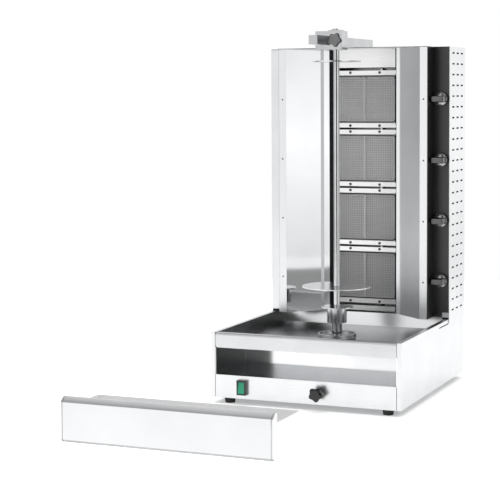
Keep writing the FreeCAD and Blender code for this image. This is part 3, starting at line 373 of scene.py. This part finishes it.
# Drip pan: a duller lip in front, a rear wall that leans and mirrors the room, a scraped floor.
scraped_pan = refinish(lip_stainless, "bright_pan_stainless", further_back(lip_back), "E2E3E4", 0.2)
scraped_pan = refinish(scraped_pan, "scraped_pan_stainless", facing("Z", 0.7), "BDBEC0", 0.27)
scraped_pan = leaning(scraped_pan, "leaning_pan_stainless", rear_wall(pan_middle), (0, 0, 0.16))
# Inside the drawer the sheet is matt with use and only scatters light.
matt_drawer = steel_sheet("matt_drawer_stainless", "F0F0F0", "EEEEEE", 0.48, 0.52, "x", 500 * MM, 0.05 * MM,
                          lines_felt=0.04, metal=0.35)
# Ceramic fibre rope round the gauze, grey with soot, soft and fully matt.
fibre_gasket = moulded("sooty_fibre_gasket", "3C3C3C", "2E2E2E", 0.9, 1.0, 1.5 * MM, 0.2 * MM)
galvanised = galvanised_sheet()
cordierite = ceramic_plate()
# Stove enamel on the knob panel: deep black, glossy, with the slight orange peel of a sprayed coat.
black_enamel = moulded("black_stove_enamel", "0E0E0F", "0A0A0B", 0.32, 0.36, 3 * MM, 0.001 * MM, IOR=1.7)
# Phenolic of the knobs: black, hard and glossy, sharp highlights on every edge.
black_phenolic = moulded("black_phenolic", "121213", "0C0C0D", 0.2, 0.28, 0.8 * MM, 0.006 * MM)
# Knobs with a painted highlight, grey, on the faces that look to the front, and black at the sides.
phenolic_painted_highlight = refinish(black_phenolic, "phenolic_painted_highlight", facing("Y", 0.8), "6C6C6D", 0.35)
grip_phenolic_painted_highlight = refinish(black_phenolic, "grip_phenolic_painted_highlight", facing("Y", 0.8), "5C5C5D", 0.3)
# Brushed nickel ring of the gas knobs: grey in front and white on the bevel that faces the light.
brushed_nickel = steel_sheet("brushed_nickel", "A8A9AB", "9FA0A2", 0.2, 0.26, "round", 30 * MM, 0.01 * MM,
                             lines_felt=0.03)
# Rubber of the feet: black and dull, with a bloom that greys it.
black_rubber = moulded("black_rubber", "1B1B1B", "121212", 0.6, 0.75, 0.9 * MM, 0.02 * MM)
# Lit polycarbonate of the rocker: green that glows a little from inside.
green_rocker = moulded("green_polycarbonate", "1E8F6A", "14755A", 0.12, 0.2, 1.2 * MM, 0.005 * MM,
                       Emission_Color=linear("2FAE86"), Emission_Strength=0.12)
# Machine enamel of the gear motor: grey, half glossy, over a cast skin.
grey_enamel = moulded("grey_machine_enamel", "5C6167", "4B5056", 0.35, 0.5, 2 * MM, 0.05 * MM)
# Machined brass of the gas line, dulled to brown in places.
machined_brass = steel_sheet("machined_brass", "C9A85E", "A9853F", 0.2, 0.34, "none", 30 * MM, 0.02 * MM)

# Square arm: a painted reflection and shade, near black, on its sides in front of the bracket, for the black
# knob that they mirror and the shade beside it.
bracket_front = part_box("top_bracket")[0].y
arm_painted_reflection = refinish(ground_bar, "arm_steel_painted_reflection", side_before(bracket_front), "303132", 0.3)

finish_of = {
    "base_side_left": satin_upright, "base_side_right": satin_upright, "base_front_plate": satin_stainless,
    "tower_side_left": satin_upright, "tower_side_right": satin_upright, "rear_panel": satin_upright,
    "tower_roof": roof_edge_painted_shade, "base_floor": galvanised, "drawer_housing": drawer_slot,
    "drive_carriage": galvanised, "carriage_rails": galvanised, "tower_pads": black_rubber,
    "arm_mount": black_rubber, "drip_pan": scraped_pan, "drip_dish": lip_stainless, "feet": black_rubber,
    "switch_bezel": black_phenolic, "cable_gland": black_phenolic, "lock_knob": black_phenolic,
    "top_knob": black_phenolic, "switch_rocker": green_rocker, "gas_inlet": machined_brass,
    "gas_valves": machined_brass, "gas_injectors": machined_brass, "gas_manifold": galvanised,
    "feed_pipes": aluminised_steel, "rod_bush": turned_stainless, "top_bearing": turned_stainless,
    "drawer_front": drawer_stainless, "drawer_box": matt_drawer,
    "tower_wing_left": left_wing, "tower_wing_right": right_wing, "knob_panel": black_enamel,
    "burner_surround": plate_painted_shade, "burner_tiles": cordierite, "burner_gauzes": oxidised_wire,
    "burner_screws": zinc_plated, "casing_screws": zinc_plated, "flame_probes": turned_stainless,
    "top_plunger": turned_stainless, "gear_motor": grey_enamel, "drive_shaft": turned_stainless,
    "spit_socket": turned_stainless, "skewer": turned_stainless, "meat_plate": pan_stainless,
    "top_disc": pan_stainless, "support_arm": arm_painted_reflection, "top_bracket": ground_bar,
}
for i in BURNERS:
    finish_of[f"burner_casing_{i}"] = aluminised_steel
    finish_of[f"valve_stem_{i}"] = turned_stainless
    finish_of[f"gas_knob_{i}"] = black_phenolic

for name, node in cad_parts.items():
    node.data.materials.clear()
    node.data.materials.append(finish_of[name])


def piece(name, shape, material, body, replaced=(), sharp=35):
    """Make an object of a bmesh, smooth but for its sharp edges, riding on a body."""
    bmesh.ops.recalc_face_normals(shape, faces=shape.faces)
    for face in shape.faces:
        face.smooth = True
    for edge in shape.edges:
        if len(edge.link_faces) == 2:
            edge.smooth = edge.calc_face_angle(0) < math.radians(sharp)
    mesh = bpy.data.meshes.new(name)
    shape.to_mesh(mesh)
    shape.free()
    mesh.materials.append(material)
    obj = bpy.data.objects.new(name, mesh)
    scene.collection.objects.link(obj)
    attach(obj, body)
    if replaced:
        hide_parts(*replaced)
    return obj


def lathe(shape, centre, axis, profile, lobes=0, steps=48, turned=0.0):
    """Turn a profile of (radius, height, share of the lobes) round an axis through centre."""
    turn = axis.to_track_quat("Z", "Y").to_matrix()
    rings = []
    for radius, height, share in profile:
        if radius == 0:
            rings.append([shape.verts.new(centre + turn @ Vector((0, 0, height)))])
            continue
        ring = []
        for k in range(steps):
            angle = 2 * math.pi * k / steps
            reach = radius * (1 - share * math.sin(lobes * (angle - turned) / 2) ** 2)
            ring.append(shape.verts.new(centre + turn @ Vector(
                (reach * math.cos(angle), reach * math.sin(angle), height))))
        rings.append(ring)
    skin(shape, rings)


def skin(shape, rings, closed=False):
    """Join rings of vertices with faces. A ring of one vertex is a tip, open ends are capped."""
    for low, high in zip(rings, rings[1:]):
        count = max(len(low), len(high))
        for k in range(count):
            following = (k + 1) % count
            corners = [low[k % len(low)], low[following % len(low)],
                       high[following % len(high)], high[k % len(high)]]
            shape.faces.new(dict.fromkeys(corners))
    if closed:
        for k in range(len(rings[0])):
            following = (k + 1) % len(rings[0])
            shape.faces.new([rings[-1][k], rings[-1][following], rings[0][following], rings[0][k]])
    else:
        for ring in (rings[0], rings[-1]):
            if len(ring) > 2:
                shape.faces.new(ring)


def rounded_loop(width, height, corner, steps=5):
    """Corners of a rounded rectangle round (0, 0)."""
    loop = []
    for k, (side, level) in enumerate(((1, 1), (-1, 1), (-1, -1), (1, -1))):
        for step in range(steps + 1):
            angle = math.pi / 2 * (k + step / steps)
            loop.append((side * (width / 2 - corner) + corner * math.cos(angle),
                         level * (height / 2 - corner) + corner * math.sin(angle)))
    return loop


def block(shape, centre, axis, sections, up=Vector((0, 0, 1))):
    """Loft rounded rectangles of (width, height, corner, distance along axis)."""
    side = up.cross(axis).normalized()
    rings = []
    for width, height, corner, distance in sections:
        rings.append([shape.verts.new(centre + axis * distance + side * a + up * b)
                      for a, b in rounded_loop(width, height, corner)])
    skin(shape, rings)


def wire(shape, points, radius, sides=6, closed=False, flat=1.0):
    """Sweep a round or flattened section along points."""
    rings = []
    last = len(points) - 1
    for k, spot in enumerate(points):
        before = points[k - 1] if closed or k else points[0]
        after = points[(k + 1) % len(points)] if closed or k < last else points[last]
        ahead = (after - before).normalized()
        depth = Vector((0, 1, 0))
        if abs(ahead.dot(depth)) > 0.9:
            depth = Vector((0, 0, 1))
        side = ahead.cross(depth).normalized()
        depth = side.cross(ahead).normalized()
        rings.append([shape.verts.new(spot + (side * math.cos(a) + depth * flat * math.sin(a)) * radius)
                      for a in (2 * math.pi * s / sides for s in range(sides))])
    skin(shape, rings, closed)


def middle(node):
    low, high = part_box(node)
    return (low + high) / 2


gauze_low, gauze_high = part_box("burner_gauzes")
burner_heights = [middle(f"burner_casing_{i}").z for i in BURNERS]
gauze_height = 2 * (min(burner_heights) - gauze_low.z)
gauze_width = gauze_high.x - gauze_low.x
gauze_y = (gauze_low.y + gauze_high.y) / 2
gauze_depth = gauze_high.y - gauze_low.y


def woven_gauze(shape, height):
    """One burner's gauze: two sets of wires over and under each other, and a rim."""
    swing = wire_radius
    inside_x = gauze_width - 2 * gauze_rim
    inside_z = gauze_height - 2 * gauze_rim
    columns = int(inside_x / wire_pitch)
    rows = int(inside_z / wire_pitch)
    for count, other, along, across, length in (
            (columns, rows, UP, Vector((1, 0, 0)), inside_z),
            (rows, columns, Vector((1, 0, 0)), UP, inside_x)):
        kind = 1 if along is UP else -1
        start = Vector((0, gauze_y, height)) - along * length / 2
        for k in range(count + 1):
            offset = across * (k - count / 2) * wire_pitch
            points = []
            for step in range(2 * other + 3):
                travel = min(max((step - 1) / 2 * wire_pitch + (length - other * wire_pitch) / 2, 0), length)
                wave = 0 if step % 2 == 0 else (-1) ** (k + step // 2) * kind * swing
                points.append(start + offset + along * travel + Vector((0, wave, 0)))
            wire(shape, points, wire_radius, 5)
    rim = [Vector((a, gauze_y, height + b)) for a, b in rounded_loop(
        gauze_width - gauze_rim, gauze_height - gauze_rim, gauze_corner)]
    wire(shape, rim, gauze_rim / 2, 8, True, gauze_depth / gauze_rim)


gauzes = bmesh.new()
for height in burner_heights:
    woven_gauze(gauzes, height)
piece("burner_gauze_mesh", gauzes, oxidised_wire, "grill", ("burner_gauzes",))

seams = bmesh.new()
gaskets = bmesh.new()
for height in burner_heights:
    for side in (-1, 1):
        reach = gauze_height / 2 - gauze_rim
        ends = [Vector((side * seam_spread, gauze_low.y + seam_radius, height + share * reach))
                for share in (-1, 0, 1)]
        wire(seams, ends, seam_radius, 8)
    ring = [Vector((a, gauze_high.y, height + b)) for a, b in rounded_loop(
        gauze_width - 2 * MM, gauze_height + gasket_width, gasket_corner)]
    wire(gaskets, ring, gasket_width / 2, 8, True, 0.5)
piece("burner_gauze_seams", seams, bright_wire, "grill")
piece("burner_gaskets", gaskets, fibre_gasket, "grill")


def islands(node):
    """Boxes of the separate solids of a CAD node, read from a copy of its mesh."""
    copy = bmesh.new()
    copy.from_mesh(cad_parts[node].data)
    bmesh.ops.remove_doubles(copy, verts=copy.verts, dist=1e-6)
    left = set(copy.verts)
    boxes = []
    while left:
        found = [left.pop()]
        for vertex in found:
            for edge in vertex.link_edges:
                other = edge.other_vert(vertex)
                if other in left:
                    left.remove(other)
                    found.append(other)
        corners = [v.co for v in found]
        low = Vector([min(c[k] for c in corners) for k in range(3)])
        high = Vector([max(c[k] for c in corners) for k in range(3)])
        boxes.append((low, high))
    copy.free()
    return boxes


def screw_heads(name, node, body, material):
    """Domed heads with a washer and a round socket, one on each screw of a CAD node."""
    heads = bmesh.new()
    for low, high in islands(node):
        size = high - low
        thin = min(range(3), key=lambda k: size[k])
        radius = max(size) / 2
        axis = Vector([1.0 if k == thin else 0.0 for k in range(3)])
        centre = (low + high) / 2
        if thin == 1:
            outward = -1 if centre.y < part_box("rear_panel")[0].y - 20 * MM else 1
        else:
            outward = 1 if centre[thin] > 0 else -1
        axis *= outward
        base = centre - axis * size[thin] / 2
        tall = size[thin]
        lathe(heads, base, axis, (
            (radius, 0, 0), (radius, tall * 0.22, 0), (radius * 0.94, tall * 0.3, 0),
            (radius * 0.84, tall * 0.32, 0), (radius * 0.8, tall * 0.62, 0), (radius * 0.62, tall * 0.88, 0),
            (radius * 0.42, tall, 0), (radius * 0.36, tall * 0.97, 0), (radius * 0.34, tall * 0.6, 0),
            (0, tall * 0.55, 0)), steps=24)
    piece(name, heads, material, body, (node,))


screw_heads("burner_screw_heads", "burner_screws", "grill", zinc_plated)
screw_heads("casing_rivet_heads", "casing_screws", "grill", zinc_plated)


def gas_knob(number):
    """Round skirt, a domed ring of nickel on it, and a grip bar across them with rounded edges."""
    node = f"gas_knob_{number}"
    low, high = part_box(node)
    centre = Vector((middle(node).x, high.y, middle(node).z))
    radius = (high.z - low.z) / 2
    proud = high.y - low.y
    knob = bmesh.new()
    lathe(knob, centre, FRONT, (
        (radius * 0.6, 0, 0), (radius - 1.0 * MM, 0, 0), (radius - 0.2 * MM, 0.4 * MM, 0),
        (radius, 1.2 * MM, 0), (radius, 2.6 * MM, 0), (radius - 0.5 * MM, 3.4 * MM, 0),
        (radius - 1.6 * MM, 4.0 * MM, 0), (0, 4.2 * MM, 0)), steps=64)
    ring = bmesh.new()
    lathe(ring, centre, FRONT, (
        (radius - 2.0 * MM, 3.6 * MM, 0), (radius - 2.0 * MM, 5.0 * MM, 0), (radius - 2.6 * MM, 6.0 * MM, 0),
        (radius - 5.0 * MM, 8.2 * MM, 0), (radius - 7.4 * MM, 9.4 * MM, 0),
        (radius - 10 * MM, 9.9 * MM, 0), (0, 10.1 * MM, 0)), steps=64)
    piece(f"gas_knob_ring_{number}", ring, brushed_nickel, node)
    wide, tall = grip_back
    front_wide, front_tall = grip_front
    block(knob, centre, FRONT, (
        (wide, tall, grip_corner, 5 * MM), (wide, tall, grip_corner, 14 * MM),
        (front_wide, front_tall + 1.5 * MM, grip_corner, proud - 6 * MM),
        (front_wide, front_tall, grip_corner, proud - 2.0 * MM),
        (front_wide - 1.6 * MM, front_tall - 1.6 * MM, grip_corner - 0.8 * MM, proud - 0.7 * MM),
        (front_wide - 4.4 * MM, front_tall - 4.4 * MM, grip_corner - 2.0 * MM, proud)))
    piece(f"gas_knob_cap_{number}", knob, grip_phenolic_painted_highlight, node, (node,))


for i in BURNERS:
    gas_knob(i)


def star_knob(name, body, node, front, replaced, material):
    """Five lobed clamping knob: nearly flat front, round edges and a neck."""
    centre = Vector((middle(node).x, front, middle(node).z))
    star = bmesh.new()
    lathe(star, centre, BACK, (
        (0, 0.4 * MM, 0), (8 * MM, 0.2 * MM, 0.02), (star_radius - 6 * MM, 0.6 * MM, 0.10),
        (star_radius - 3 * MM, 1.4 * MM, 0.17), (star_radius - 1 * MM, 3.2 * MM, 0.21),
        (star_radius, 5.6 * MM, 0.22), (star_radius, 11.0 * MM, 0.22),
        (star_radius - 1 * MM, 13.2 * MM, 0.21), (star_radius - 4 * MM, 14.2 * MM, 0.16),
        (10 * MM, 14.4 * MM, 0.0), (9.0 * MM, 15.2 * MM, 0.0), (9.0 * MM, star_thickness, 0.0)),
        lobes=star_lobes, steps=80, turned=star_turn)
    return piece(name, star, material, body, replaced)


def drawer_face():
    """Drawer front: pressed sheet, a wide chamfer above, a narrow one below, an end flange each side."""
    low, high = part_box("drawer_front")
    front = bmesh.new()
    outline = [(high.y, low.z + 1 * MM), (high.y - 9 * MM, low.z), (low.y + 7 * MM, low.z + 0.8 * MM),
               (low.y, low.z + 7 * MM), (low.y, high.z - 11 * MM), (low.y + 12 * MM, high.z - 0.8 * MM),
               (high.y - 3 * MM, high.z), (high.y, high.z - 1 * MM)]
    ends = (low.x + end_flange + flange_gap, high.x - end_flange - flange_gap)
    skin(front, [[front.verts.new((x, y, z)) for y, z in outline] for x in ends])
    for x0, x1 in ((low.x, low.x + end_flange), (high.x - end_flange, high.x)):
        skin(front, [[front.verts.new((x, y, z)) for y, z in outline] for x in (x0, x1)])
    core = [(high.y - core_inset, low.z + 3 * MM), (low.y + 9 * MM, low.z + 3 * MM),
            (low.y + 5 * MM, low.z + 9 * MM), (low.y + 5 * MM, high.z - 12 * MM),
            (low.y + 14 * MM, high.z - 4 * MM), (high.y - core_inset, high.z - 4 * MM)]
    core_ends = (ends[0] - flange_gap, ends[1] + flange_gap)
    skin(front, [[front.verts.new((x, y, z)) for y, z in core] for x in core_ends])
    return piece("drawer_face", front, drawer_stainless, "drawer", ("drawer_front",))


face = drawer_face()
face.data.materials.append(upper_fold_painted_shade)
face.data.materials.append(lower_fold_painted_shade)
# its upper chamfer gets a touch of painted shade, its lower one grey painted shade
for polygon in face.data.polygons:
    if 0.3 < abs(polygon.normal.z) < 0.95 and polygon.normal.y < 0:
        polygon.material_index = 1 if polygon.normal.z > 0 else 2
# the photograph's drawer has no shadow, so neither has this one
for obj in (face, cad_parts["drawer_box"]):
    obj.visible_shadow = False

lock_low, lock_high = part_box("lock_knob")
star_knob("lock_star", "lock_knob", "lock_knob", lock_low.y, ("lock_knob",), black_phenolic)
lock_rod = bmesh.new()
rod_end = lock_high.y
rod_start = lock_low.y + star_hub
neck_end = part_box("rod_bush")[0].y - 0.3 * MM
rod_turns = [(8.6 * MM, rod_start), (9.0 * MM, rod_start + 1 * MM), (9.0 * MM, neck_end - 0.6 * MM),
             (8.4 * MM, neck_end), (5.0 * MM, neck_end)]
for stop in (rod_end - 2 * rod_stop - rod_stops_apart, rod_end - rod_stop):
    rod_turns += [(5.0 * MM, stop), (7.5 * MM, stop), (8.0 * MM, stop + 0.5 * MM),
                  (8.0 * MM, stop + rod_stop - 0.5 * MM), (7.5 * MM, stop + rod_stop),
                  (5.0 * MM, stop + rod_stop)]
lathe(lock_rod, Vector((middle("lock_knob").x, 0, middle("lock_knob").z)), BACK,
      [(radius, y, 0) for radius, y in rod_turns[:-1]] + [(0, rod_end, 0)], steps=32)
piece("lock_rod", lock_rod, turned_stainless, "lock_knob")

top_low, top_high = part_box("top_knob")
top_star = star_knob("top_star", "top_knob", "top_knob", top_low.y, ("top_knob",), phenolic_painted_highlight)
top_stud = bmesh.new()
stud_length = top_high.y - top_low.y - star_hub
lathe(top_stud, Vector((middle("top_knob").x, top_low.y + star_hub, middle("top_knob").z)), BACK, (
    (5 * MM, 0, 0), (5 * MM, stud_length - 1 * MM, 0), (4.2 * MM, stud_length, 0)), steps=32)
piece("top_stud", top_stud, turned_stainless, "top_knob")


def studio():
    """White backdrop for the camera, and a room of soft lights and dark gaps for everything else."""
    world = bpy.data.worlds.new("studio")
    scene.world = world
    world.use_nodes = True
    tree = world.node_tree
    tree.nodes.clear()
    sky = add(tree, "ShaderNodeTexCoord").outputs["Generated"]
    way = add(tree, "ShaderNodeSeparateXYZ", {"Vector": sky})
    angle = sums(tree, "ARCTAN2", way.outputs["X"], sums(tree, "MULTIPLY", way.outputs["Y"], -1.0))
    share = add(tree, "ShaderNodeMapRange", {"Value": angle, "From Min": -math.pi, "From Max": math.pi})
    # round the room: back at 0, left 0.25, front 0.5, right 0.75, back again at 1
    walls = add(tree, "ShaderNodeValToRGB", {"Fac": share.outputs["Result"]}, stops=[
        (place, grey(value)) for place, value in (
            (0.0, 1.0), (0.167, 0.9), (0.236, 0.3), (0.292, 0.35), (0.347, 0.95), (0.458, 1.0),
            (0.494, 0.5), (0.522, 0.04), (0.6, 0.04), (0.622, 0.7), (0.644, 1.0), (0.708, 0.95),
            (0.764, 0.35), (0.833, 0.5), (0.889, 1.0), (1.0, 1.0))])
    height = add(tree, "ShaderNodeMapRange", {"Value": way.outputs["Z"], "From Min": -1.0, "From Max": 1.0})
    # straight down at 0, level with the horizon at 0.5, straight up at 1
    levels = add(tree, "ShaderNodeValToRGB", {"Fac": height.outputs["Result"]}, stops=[
        (place, grey(value)) for place, value in (
            (0.0, 0.6), (0.445, 0.7), (0.485, 1.0), (0.515, 0.8), (0.75, 0.7), (1.0, 0.6))])
    room = add(tree, "ShaderNodeMix", {
        0: 1.0, COLOUR_A: walls.outputs["Color"], COLOUR_B: levels.outputs["Color"]},
        data_type="RGBA", blend_type="MULTIPLY")
    lit = add(tree, "ShaderNodeBackground", {"Color": room.outputs[COLOUR_OUT], "Strength": room_strength})
    white = add(tree, "ShaderNodeBackground", {"Color": grey(1.0), "Strength": 1.0})
    seen = add(tree, "ShaderNodeLightPath").outputs["Is Camera Ray"]
    mixed = add(tree, "ShaderNodeMixShader", {0: seen, 1: lit.outputs[0], 2: white.outputs[0]})
    add(tree, "ShaderNodeOutputWorld", {"Surface": mixed.outputs[0]})


def floor():
    """A round white paper floor, lit from below as a light table is, so that its edge doesn't show."""
    material, tree, shader, place = new_material(
        "white_paper_floor", Roughness=0.9, Emission_Color=grey(1.0), Emission_Strength=floor_glow)
    fibres = pattern(tree, place, 3 * MM)
    surface(tree, shader, "F4F4F4", "F2F2F2", fibres, 0.85, 0.95, fibres, ((fibres, 0.1, 0.02 * MM),))
    ground = bmesh.new()
    bmesh.ops.create_circle(ground, cap_ends=True, radius=floor_radius, segments=96)
    mesh = bpy.data.meshes.new("studio_floor")
    ground.to_mesh(mesh)
    ground.free()
    mesh.materials.append(material)
    obj = bpy.data.objects.new("studio_floor", mesh)
    scene.collection.objects.link(obj)


def photograph_camera():
    """The camera of the photograph, level sides first, then pitch and roll."""
    data = bpy.data.cameras.new("camera")
    data.sensor_width = sensor_width
    data.sensor_fit = "HORIZONTAL"
    data.lens = focal_pixels / picture_pixels * sensor_width
    data.shift_y = -frame_raise / picture_pixels
    data.clip_end = 100
    obj = bpy.data.objects.new("camera", data)
    obj.matrix_world = (
        Matrix.Translation(camera_place)
        @ Matrix.Rotation(math.radians(camera_azimuth), 4, "Z")
        @ Matrix.Rotation(math.radians(90 - camera_pitch), 4, "X")
        @ Matrix.Rotation(math.radians(camera_roll), 4, "Z"))
    scene.collection.objects.link(obj)
    scene.camera = obj


def overhead_softbox():
    """Soft light from above. It brightens the floor and isn't mirrored by the steel."""
    data = bpy.data.lights.new("overhead_softbox", "AREA")
    data.shape = "SQUARE"
    data.size = softbox_size
    data.energy = softbox_power
    obj = bpy.data.objects.new("overhead_softbox", data)
    obj.location = (0, 0, softbox_height)
    obj.visible_glossy = False
    scene.collection.objects.link(obj)


def grey_board():
    """A dull board on the floor beside the view. Only the steel sees it, low in the left wing."""
    material, tree, shader, place = new_material("grey_felt_board", Roughness=0.95)
    felt = pattern(tree, place, 4 * MM)
    surface(tree, shader, "969696", "8C8C8C", felt, 0.9, 1.0, felt, ((felt, 0.2, 0.1 * MM),))
    board = bmesh.new()
    turn = Matrix.Rotation(board_turn, 4, "Z")
    left, right, far, near = board_edges
    corners = ((left, far), (right, far), (right, near), (left, near))
    board.faces.new([board.verts.new(turn @ Vector((x, y, 2 * MM))) for x, y in corners])
    mesh = bpy.data.meshes.new("grey_board")
    board.to_mesh(mesh)
    board.free()
    mesh.materials.append(material)
    obj = bpy.data.objects.new("grey_board", mesh)
    obj.visible_camera = False
    obj.visible_diffuse = False
    obj.visible_shadow = False
    scene.collection.objects.link(obj)


for obj in [top_star] + [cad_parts[name] for name in unmirrored]:
    obj.visible_glossy = False
studio()
floor()
overhead_softbox()
grey_board()
photograph_camera()
scene.view_settings.view_transform = "Standard"
scene.view_settings.look = "None"

bpy.context.view_layer.update()
